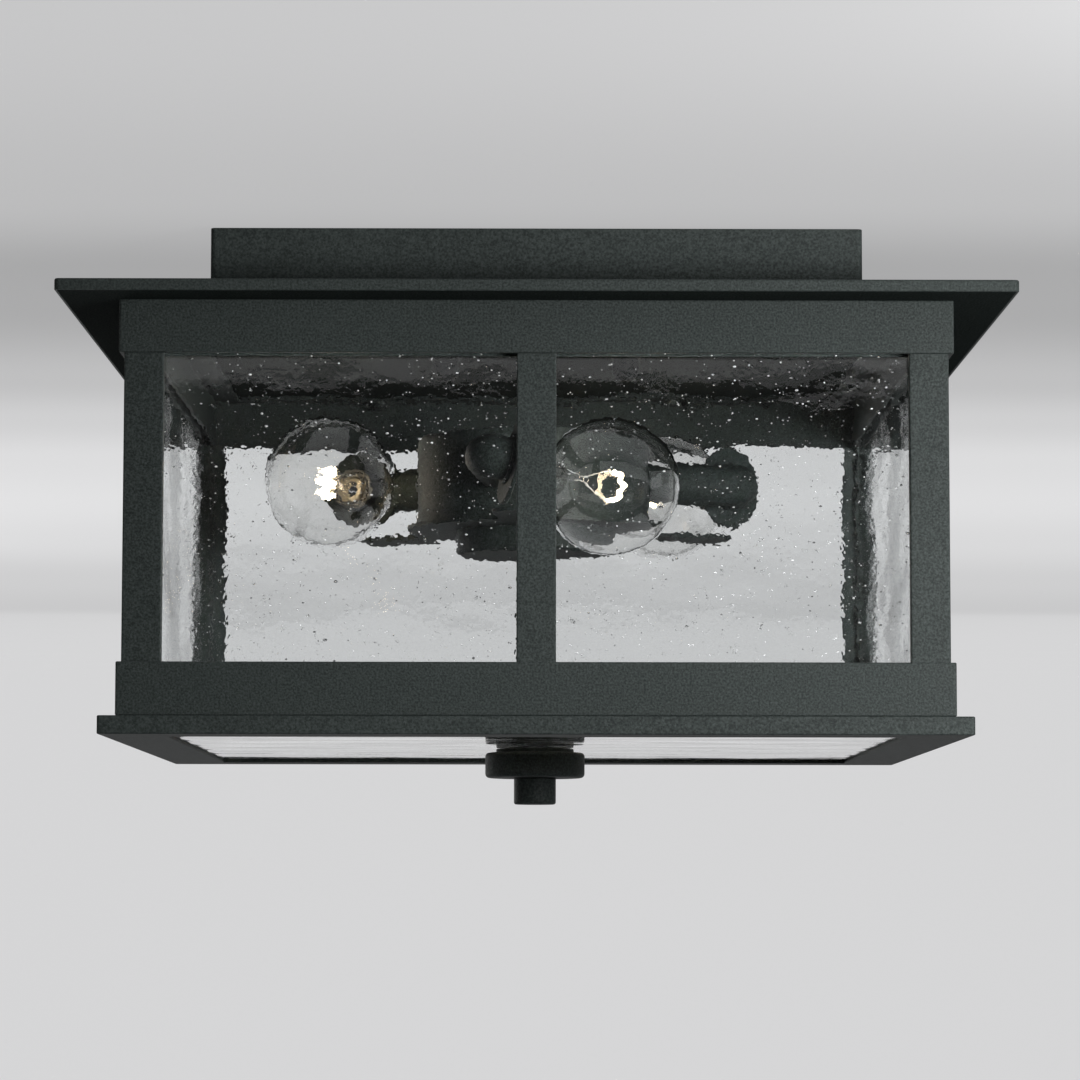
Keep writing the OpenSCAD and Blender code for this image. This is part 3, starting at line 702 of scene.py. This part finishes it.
def channel(edge, web_far, web_near):
    """The corners of a frame's channel section: outer leg, web and inner leg."""
    out, leg = FRAME_HALF, LEG_IN + LEG_T
    inner = out - OUTER_LEG_T
    return [(out, web_far), (out, edge), (inner, edge), (inner, web_near),
            (leg, web_near), (leg, edge), (LEG_IN, edge)]


class LANTERN_OT_frames(bpy.types.Operator):
    """Adds the channel frames above and below the glass"""
    bl_idname = "lantern.frames"
    bl_label = "Frames"

    def execute(self, context):
        e = sizes().edge / MM
        radii = [e, e, 0.3, 0.3, 0.3, 0.3, 0.3]
        flange = [(LEG_IN, TOP_WEB), (LEG_IN - FLANGE, TOP_WEB), (LEG_IN - FLANGE, ROOF_LOW)]
        upper = square_ring(channel(GLASS_TOP, ROOF_LOW, TOP_WEB) + flange, radii + [0.3, 0.3, 0.3], 0.7)
        make_piece("upper_frame", [upper], ["top_frame"])
        section = channel(GLASS_BOTTOM, FRAME_LOW, BOTTOM_WEB) + [(LEG_IN, FRAME_LOW)]
        lower = square_ring(section, radii + [0.3], 0.7)
        make_piece("lower_frame", [lower], ["bottom_frame"])
        dress("rubber", "glazing_strips")
        return {"FINISHED"}


class LANTERN_OT_posts(bpy.types.Operator):
    """Adds the four corner posts and the centre bars outside the glass"""
    bl_idname = "lantern.posts"
    bl_label = "Posts and bars"

    def execute(self, context):
        e = sizes().edge / MM
        z0, z1 = BOTTOM_WEB + 0.02, TOP_WEB - 0.02
        near = POST_OUT - 2 * POST_HALF
        post = rounded(
            [(POST_OUT, POST_OUT), (near, POST_OUT), (near, COVER_IN), (CORE_IN, COVER_IN),
             (CORE_IN, CORE_IN), (COVER_IN, CORE_IN), (COVER_IN, near), (POST_OUT, near)],
            [e, e, 0.3, 0.1, 0.3, 0.1, 0.3, e])
        for quarter, side in enumerate(("rear_right", "rear_left", "front_left", "front_right")):
            make_piece("corner_post_" + side, [prism(post, z0, z1, quarter)], ["post_" + side])
        half = POST_HALF
        cover = rounded([(-half, -POST_OUT), (half, -POST_OUT), (half, -COVER_IN), (-half, -COVER_IN)],
                        [e, e, 0.3, 0.3])
        for quarter, side in enumerate(SIDES):
            make_piece("cover_bar_" + side, [prism(cover, z0, z1, quarter)], ["bar_" + side])
        return {"FINISHED"}


class LANTERN_OT_panes(bpy.types.Operator):
    """Adds the four side panes of rolled glass, with waves in both faces and bubbles inside"""
    bl_idname = "lantern.panes"
    bl_label = "Side panes"

    def execute(self, context):
        s = sizes()
        box = PANE_HALF, BOTTOM_WEB + PANE_SEAT, TOP_WEB - PANE_SEAT, PANE_OUT - PANE_IN
        middle = (PANE_OUT + PANE_IN) / 2
        for quarter, side in enumerate(SIDES):
            a = quarter * math.pi / 2
            out = np.array([math.sin(a), -math.cos(a), 0])
            along = np.array([math.cos(a), math.sin(a), 0])
            matrix = np.stack([along, (0, 0, 1), out, out * middle], -1)
            pane = placed(pane_mesh(*box, s.wave / MM, s.seeds_side, 11 + quarter), matrix)
            make_piece("seeded_pane_" + side, pane, ["glass_" + side], "seeded glass", sharp=60)
            # The pane's pale grains are painted glints of its seeds.
            layer = placed(glint_grain_layer(*box, s.glint_grains_side, 211 + quarter), matrix)
            make_piece("pane_glint_grains_" + side, layer, (), "pale grain", sharp=60)
        return {"FINISHED"}


class LANTERN_OT_stem(bpy.types.Operator):
    """Adds the threaded stem, the drum with its plate and cap, and the nuts that hold them"""
    bl_idname = "lantern.stem"
    bl_label = "Stem and drum"

    def execute(self, context):
        pitch = sizes().pitch / MM
        lines = np.linspace(STEM_TOP, STEM_LOW, int((STEM_TOP - STEM_LOW) / pitch * 4))
        body = np.stack([np.full(len(lines), STEM_R - 0.25), lines], -1)
        profile = np.concatenate([[(STEM_BORE_R, STEM_TOP)], body, [(STEM_BORE_R, STEM_LOW)]])
        crest = lambda angle, z, r: np.where(r > 4, 0.24 * np.cos(math.tau * z / pitch - angle), 0)
        stem = turned_profile(profile, 24, None, True, crest)
        make_piece("threaded_stem", [stem], ["stem"], "zinc", sharp=80)
        rim, wall, hole = DRUM_R, DRUM_R - SHEET, STEM_R + 0.2
        drum = turned(
            [(hole, DRUM_TOP), (rim, DRUM_TOP), (rim, DRUM_LOW), (wall, DRUM_LOW),
             (wall, DRUM_TOP - SHEET), (hole, DRUM_TOP - SHEET)],
            [0.1, 1.4, 0.3, 0.3, 1.0, 0.1], closed=True)
        make_piece("wiring_drum", [drum], ["wiring_canister"])
        cap = turned(oblong(hole, CAP_R, PLATE_LOW, CAP_LOW), [0.05, 0.2, 2.0, 0.1], closed=True)
        make_piece("drum_cap", [cap], ["canister_cap"])
        dress("black coat", "arm_plate")
        dress("zinc", "stem_nuts", "mounting_bracket", "mounting_studs", "stud_lock_nuts")
        dress("green coat", "ground_screw")
        return {"FINISHED"}


class LANTERN_OT_fixings(bpy.types.Operator):
    """Adds the two domed cap nuts under the roof, and finishes the screws"""
    bl_idname = "lantern.fixings"
    bl_label = "Cap nuts and screws"

    def execute(self, context):
        low, r, foot = CAP_NUT_LOW, CAP_NUT_R, ROOF_LOW - 1.2
        dome = np.linspace(0, math.pi / 2, 12)
        profile = np.concatenate([
            rounded([(0, ROOF_LOW), (r + 1.2, ROOF_LOW), (r + 1.2, foot), (r, foot), (r, low + r)],
                    [0, 0.3, 0.4, 0.2, 0], False),
            np.stack([r * np.cos(dome), low + r - r * np.sin(dome)], -1)[1:]])
        nuts = [turned_profile(profile, 40, shift(x)) for x in (-STUD_X, STUD_X)]
        make_piece("domed_nuts", nuts, ["cap_nuts"], "nut coat")
        dress("black coat", "canopy_screws", "roof_screws", "frame_screws")
        return {"FINISHED"}


class LANTERN_OT_sockets(bpy.types.Operator):
    """Adds the three bent socket arms with their discs, and the sockets on them"""
    bl_idname = "lantern.sockets"
    bl_label = "Arms and sockets"

    def execute(self, context):
        for i in range(LAMP_COUNT):
            a = math.radians(ARM_ANGLE + LAMP_STEP * i)
            out = np.array([math.cos(a), math.sin(a), 0.0])
            frame_i, corner = lamp_frame(i), elbow_of(i)
            start = corner - out * (corner @ out - ARM_START)
            points = [start, corner, frame_i[:, 3] - frame_i[:, 2] * 0.5]
            path = filleted_path(points, ARM_BEND)
            arm = tube(path, ARM_R, (0, 0, 1), 40)
            disc = turned(oblong(0, DISC_R, 0, -DISC_T), [0, 0.7, 0.7, 0], place=frame_i)
            collar = oblong(0, ARM_R + 1.6, -DISC_T + 0.1, -DISC_T - 1.6)
            collar = turned(collar, [0, 0.1, 0.6, 0], place=frame_i)
            make_piece(f"bent_arm_{i + 1}", [arm, disc, collar], [f"socket_arm_{i + 1}"], sharp=40)
            rib = lambda angle, z, r: np.where(
                (r > SOCKET_R - 0.1) & (z > 5) & (z < SOCKET_LEN - 3), 0.22 * (np.cos(24 * angle) - 1), 0)
            mouth, floor, waist = SHELL_OUT + 0.05, SOCKET_FLOOR, SOCKET_R - 0.01
            corners = [
                (0, floor), (mouth, floor), (mouth, SOCKET_LEN), (SOCKET_R, SOCKET_LEN),
                (SOCKET_R, SOCKET_LEN - 2.5), (waist, SOCKET_LEN - 3.5), (waist, 4.5), (SOCKET_R, 3.5),
                (SOCKET_R, 0), (0, 0)]
            profile = rounded(corners, [0, 0.1, 0.6, 0.6, 0.05, 0.05, 0.05, 0.05, 0.2, 0], False)
            socket = turned_profile(profile, 144, frame_i, False, rib)
            make_piece(f"ribbed_socket_{i + 1}", [socket], [f"socket_{i + 1}"], "socket plastic", sharp=45)
        dress("brass", "socket_shells")
        return {"FINISHED"}


def lamp_base(i, place, body):
    """A screw base: a thread cut as a cosine, a plain collar, and the contact in its insulator."""
    pitch, low, high = THREAD_PITCH, BASE_LOW + 2.6, BASE_TOP - 6
    z = np.linspace(high, low, 48)
    collar = BASE_R - 0.1
    profile = np.concatenate([
        [(0, BASE_TOP), (BASE_R - 0.9, BASE_TOP), (collar, BASE_TOP - 0.8), (collar, high + 1.2)],
        np.stack([np.full(len(z), BASE_R - 0.5), z], -1),
        [(BASE_R - 1.4, BASE_LOW + 1.4), (2.7, BASE_LOW + 0.8), (2.5, BASE_LOW + 0.1), (0, BASE_LOW)]])
    thread = lambda angle, z, r: np.where(
        (z < high) & (z > low), 0.42 * np.cos(math.tau * z / pitch - angle), 0)
    shell = turned_profile(profile, 48, place, False, thread)
    make_piece(f"screw_base_{i + 1}", [shell], [f"lamp_base_{i + 1}"], "brass", body, 50)


def lamp_globe(i, place, body):
    """A thin sphere that runs into a short neck."""
    def wall(radius, neck, low):
        angle = np.linspace(0, math.pi - math.asin(min(1, (neck + 1.6) / radius)), 64)
        ball = np.stack([radius * np.sin(angle), GLOBE_Z + radius * np.cos(angle)], -1)
        foot = np.array([(neck, low + (ball[-1, 1] - low) * 0.55), (neck, low)])
        return np.concatenate([ball, foot])
    outer = wall(GLOBE_R, NECK_R - 0.4, NECK_LOW)
    inner = wall(GLOBE_R - GLOBE_WALL, BASE_R + 0.15, NECK_LOW)[::-1]
    shell = turned_profile(np.concatenate([outer, inner]), 96, place)
    make_piece(f"blown_globe_{i + 1}", [shell], [f"lamp_globe_{i + 1}"], "lamp glass", body, 70)


def lamp_inside(i, place, body):
    """Leads rise from the glass foot to both ends of the filament, a coiled wire in a zigzag arc."""
    foot = GLOBE_Z - GLOBE_R + 3
    low = foot + 0.05
    stem = turned([(0, foot + 12), (1.5, foot + 12), (2.0, foot + 6), (3.6, low), (0, low)],
                  [0, 0.6, 2, 0.4, 0], 32, place)
    half = np.linspace(0, math.pi, 10)
    bead = np.stack([1.3 * np.sin(half), foot + 15 + 1.3 * np.cos(half)], -1)
    bead = turned_profile(bead, 20, place)
    make_piece(f"lamp_foot_{i + 1}", [stem, bead], (), "lamp glass", body, 60)
    wires = []
    for side in (-1, 1):
        near, far = side * 1.0, side * FILAMENT_HALF
        points = [(near, 0, foot + 10), (near, 0, foot + 14), (far, 0, GLOBE_Z - 3), (far, 0, GLOBE_Z)]
        wires.append(tube(filleted_path(points, 1.0, 6), 0.3, (0, 1, 0), 10, place))
    make_piece(f"lead_wires_{i + 1}", wires, (), "lead wire", body, 60)
    t = np.linspace(0, math.pi, 241)
    zigzag = FILAMENT_WAVE * np.sin(8 * t) * np.sin(t) ** 0.3
    path = np.stack([-FILAMENT_HALF * np.cos(t), zigzag, GLOBE_Z + FILAMENT_RISE * np.sin(t)], -1)
    coil = lambda angle, share: 0.12 * np.cos(math.tau * 60 * share - angle)
    wire = tube(path, FILAMENT_R, (0.1, 0.3, 1), 10, place, coil)
    make_piece(f"lit_filament_{i + 1}", [wire], [f"lamp_filament_{i + 1}"], "filament", body, 60)


class LANTERN_OT_lamps(bpy.types.Operator):
    """Adds the three clear round lamps: base, blown globe, glass foot, lead wires and lit filament"""
    bl_idname = "lantern.lamps"
    bl_label = "Lamps"

    def execute(self, context):
        for i in range(LAMP_COUNT):
            place, body = lamp_frame(i), f"lamp_{i + 1}"
            lamp_base(i, place, body)
            lamp_globe(i, place, body)
            lamp_inside(i, place, body)
        return {"FINISHED"}


def tray_pane(s):
    """The tray's pane: spokes run from the round hole to the square edge, and both faces are rippled."""
    half, hole, rings, spokes = TRAY_PANE_HALF, TRAY_HOLE, 80, 400
    t = np.linspace(0, 1, rings)[:, None] ** 0.9
    angle = np.linspace(0, math.tau, spokes, endpoint=False)[None, :]
    reach = half / np.maximum(np.abs(np.cos(angle)), np.abs(np.sin(angle)))
    r = hole + (reach - hole) * t
    x, y = r * np.cos(angle), r * np.sin(angle)
    edge = np.minimum(half - np.maximum(np.abs(x), np.abs(y)), r - hole)
    top = glass_face(x, y, TRAY_GLASS_TOP, edge, 5, s.wave / MM)
    low = glass_face(x, y, TRAY_GLASS_LOW, edge, 6, s.wave / MM)
    body = grid_shell(np.concatenate([top, low[::-1]]) * MM, True, True)
    centres, radii, stretch = scatter(s.seeds_bottom, half, -half, half, 3.0, 77)
    clear = np.hypot(centres[:, 0], centres[:, 1]) > hole + 3
    centres = centres[clear] + (0, 0, (TRAY_GLASS_TOP + TRAY_GLASS_LOW) / 2)
    verts, faces = seeds(centres, radii[clear], stretch[clear])
    shells = [body, (verts * MM, [faces])]
    make_piece("seeded_pane_bottom", shells, ["bottom_glass"], "seeded glass", TRAY, 60)


class LANTERN_OT_tray(bpy.types.Operator):
    """Adds the tray frame and its pane, and finishes the clips and the grommet"""
    bl_idname = "lantern.tray"
    bl_label = "Tray"

    def execute(self, context):
        s = sizes()
        e = s.edge / MM
        wall, rim, lip = TRAY_HALF - SHEET, TRAY_HALF - TRAY_RIM, TRAY_HALF - TRAY_LIP
        ring = square_ring(
            [(TRAY_HALF, TRAY_TOP), (TRAY_HALF, TRAY_LOW), (lip, TRAY_LOW), (lip, TRAY_GLASS_LOW),
             (wall, TRAY_GLASS_LOW), (wall, TRAY_TOP - SHEET), (rim, TRAY_TOP - SHEET), (rim, TRAY_TOP)],
            [e, e, 0.4, 0.3, 0.3, 0.3, 0.3, 0.3], 1.2)
        make_piece("tray_frame", [ring], ["bottom_tray"], body=TRAY)
        tray_pane(s)
        dress("zinc", "glass_clips")
        dress("rubber", "glass_grommet")
        return {"FINISHED"}


class LANTERN_OT_finial(bpy.types.Operator):
    """Adds the turned washer, disc and knob under the tray"""
    bl_idname = "lantern.finial"
    bl_label = "Finial"

    def execute(self, context):
        bore = STEM_R + 0.05
        washer = turned(oblong(bore, WASHER_R, WASHER_TOP, FINIAL_TOP), [0.05, 0.4, 0.3, 0.05], closed=True)
        make_piece("turned_washer", [washer], ["finial_washer"], body=FINIAL)
        disc = turned(oblong(bore, FINIAL_R, FINIAL_TOP, KNOB_TOP), [0.05, 1.6, 1.8, 0.05], closed=True)
        make_piece("turned_disc", [disc], ["finial_disc"], body=FINIAL)
        tip = STEM_LOW - 0.5
        knob = turned(
            [(bore, KNOB_TOP), (KNOB_R, KNOB_TOP), (KNOB_R, KNOB_LOW), (0, KNOB_LOW), (0, tip), (bore, tip)],
            [0.05, 0.4, 1.0, 0, 0, 0.05], closed=True)
        make_piece("turned_knob", [knob], ["finial_knob"], body=FINIAL)
        return {"FINISHED"}


def room():
    """A ceiling in the mounting plane and a wall behind it, seen only from the side of the lantern."""
    front, back, half, gap = -0.655, 2.11, 4.0, 0.0012
    corner = np.linspace(0, math.pi / 2, 13)
    cove = 0.05
    line = np.concatenate([
        [(front, 0), (back - cove, 0)],
        np.stack([back - cove + cove * np.sin(corner), -cove + cove * np.cos(corner)], -1)[1:],
        [(back, -3.5)]])
    x, y, z = np.array([-half, half])[:, None], line[None, :, 0], line[None, :, 1] + gap
    points = np.stack([x + 0 * y, 0 * x + y, 0 * x + z], -1)
    verts, faces = grid_shell(points, False, False)
    mesh = bpy.data.meshes.new("ceiling")
    mesh.from_pydata(verts.tolist(), [], faces[0][:, ::-1].tolist())
    mesh.materials.append(paint())
    ceiling = add_object("ceiling", mesh)


def paint():
    """Matt paint whose colour runs in broad soft bands of painted light and shade, clear from behind. Most of
    what is seen of it is that painted colour, and the rest is lit, so the lantern's shadow stays."""
    material, tree, shader = blank_material(
        "ceiling paint", {"Roughness": 0.9, "Specular IOR Level": 0.1})
    parts = add_node(tree, "SeparateXYZ", {0: object_place(tree)})
    ramp = add_node(tree, "ValToRGB", {0: ranged(tree, parts.outputs["Y"], -0.7, 2.12)})
    # The bands are painted light and shade: lighter and darker stretches of ceiling and wall, and a darker
    # stretch over the lantern that is painted shadow.
    bands = ((0.06, 0.60), (0.18, 0.54), (0.24, 0.43), (0.28, 0.44), (0.37, 0.57), (0.43, 0.68),
             (0.50, 0.78), (0.59, 0.81), (0.70, 0.76), (0.83, 0.68), (0.95, 0.64), (1.0, 0.73))
    ramp.color_ramp.interpolation = "EASE"
    while len(ramp.color_ramp.elements) < len(bands):
        ramp.color_ramp.elements.new(0.5)
    for element, (position, level) in zip(ramp.color_ramp.elements, bands):
        element.position = position
        element.color = rgba(dimmed(bpy.context.scene.lantern_colours.ceiling, level))
    tree.links.new(ramp.outputs[0], shader.inputs["Base Color"])
    plain = add_node(tree, "Emission", {"Color": ramp.outputs[0], "Strength": 1.0})
    shown = mixed_shader(tree, calc(tree, "MULTIPLY", seen_rays(tree), PAINTED_BAND_SHARE), shader, plain)
    clear = add_node(tree, "BsdfTransparent", {"Color": (1, 1, 1, 1)})
    behind = add_node(tree, "NewGeometry").outputs["Backfacing"]
    to_surface(tree, mixed_shader(tree, behind, shown, clear))
    return material


def lights():
    """A pale world whose front half mirrors as a dim room, a soft lamp near the right front at the middle
    of the glass, and a weaker one behind."""
    world = bpy.data.worlds.new("studio")
    bpy.context.scene.world = world
    world.use_nodes = True
    tree = world.node_tree
    tree.nodes.clear()
    path = add_node(tree, "LightPath").outputs
    fill = calc(tree, "MULTIPLY", calc(tree, "SUBTRACT", 1.0, path["Is Transmission Ray"]), FILL)
    light = add_node(tree, "Background", {"Color": (0.95, 0.98, 1.0, 1), "Strength": fill})
    way = add_node(tree, "TexCoord").outputs["Generated"]
    toward = add_node(tree, "SeparateXYZ", {0: way})
    front = ranged(tree, toward.outputs["Y"], -0.2, -0.6)
    dim = calc(tree, "MULTIPLY", front, calc(tree, "GREATER_THAN", path["Glossy Depth"], 0.5))
    backdrop = mixed(tree, dim, PALE, DIM)
    pale = add_node(tree, "Background", {"Color": backdrop, "Strength": 1.0})
    add_node(tree, "OutputWorld")
    to_surface(tree, mixed_shader(tree, seen_rays(tree), light, pale))
    for name, place, size, power in (("right box", (0.40, -0.64, -0.135), (0.3, 0.12), 7.6),
                                     ("rear box", (-0.9, 1.1, -0.12), (0.8, 0.3), 5.0)):
        lamp = bpy.data.lights.new(name, "AREA")
        lamp.shape, lamp.energy = "RECTANGLE", power
        lamp.size, lamp.size_y = size
        box = add_object(name, lamp)
        box.location = place
        aim = Vector(np.array([0, 0, -0.12]) - place)
        box.rotation_mode = "QUATERNION"
        box.rotation_quaternion = aim.to_track_quat("-Z", "Y")
        box.visible_camera = box.visible_transmission = False


def photo_camera():
    """The photograph's camera, fitted to the lantern's edges."""
    data = bpy.data.cameras.new("camera")
    data.sensor_width, data.lens = SENSOR, PHOTO_LENS * SENSOR / PHOTO_WIDTH
    data.clip_start, data.clip_end = 0.05, 40.0
    camera = add_object("camera", data)
    camera.location = (-0.00464, -1.6968, -0.2731)
    camera.rotation_euler = (math.pi / 2 + 0.0924, -0.0014, -0.0041)
    bpy.context.scene.camera = camera


class LANTERN_OT_stage(bpy.types.Operator):
    """Adds the pale ceiling and wall, the lamps of the studio and the camera"""
    bl_idname = "lantern.stage"
    bl_label = "Stage"

    def execute(self, context):
        room()
        lights()
        photo_camera()
        context.scene.view_settings.view_transform = "Standard"
        return {"FINISHED"}


STEPS = (
    LANTERN_OT_stage, LANTERN_OT_canopy_roof, LANTERN_OT_frames, LANTERN_OT_posts, LANTERN_OT_panes,
    LANTERN_OT_stem, LANTERN_OT_fixings, LANTERN_OT_sockets, LANTERN_OT_lamps, LANTERN_OT_tray,
    LANTERN_OT_finial,
)


class LANTERN_PT_panel(bpy.types.Panel):
    """Lists the lantern's sizes, colours and pieces"""
    bl_idname = "LANTERN_PT_panel"
    bl_label = "Lantern"
    bl_space_type = "VIEW_3D"
    bl_region_type = "UI"
    bl_category = "Lantern"

    def draw(self, context):
        for group in (context.scene.lantern_sizes, context.scene.lantern_colours):
            for name in group.__annotations__:
                self.layout.prop(group, name)
        for step in STEPS:
            self.layout.operator(step.bl_idname)


CLASSES = (LanternSizes, LanternColours, *STEPS, LANTERN_PT_panel)


def register():
    for item in CLASSES:
        bpy.utils.register_class(item)
    bpy.types.Scene.lantern_sizes = bpy.props.PointerProperty(type=LanternSizes)
    bpy.types.Scene.lantern_colours = bpy.props.PointerProperty(type=LanternColours)


def unregister():
    del bpy.types.Scene.lantern_colours
    del bpy.types.Scene.lantern_sizes
    for item in reversed(CLASSES):
        bpy.utils.unregister_class(item)


def main():
    register()
    for step in STEPS:
        group, name = step.bl_idname.split(".")
        if getattr(getattr(bpy.ops, group), name)() != {"FINISHED"}:
            raise RuntimeError(f"{step.bl_label} was not finished")


if __name__ == "__main__":
    main()
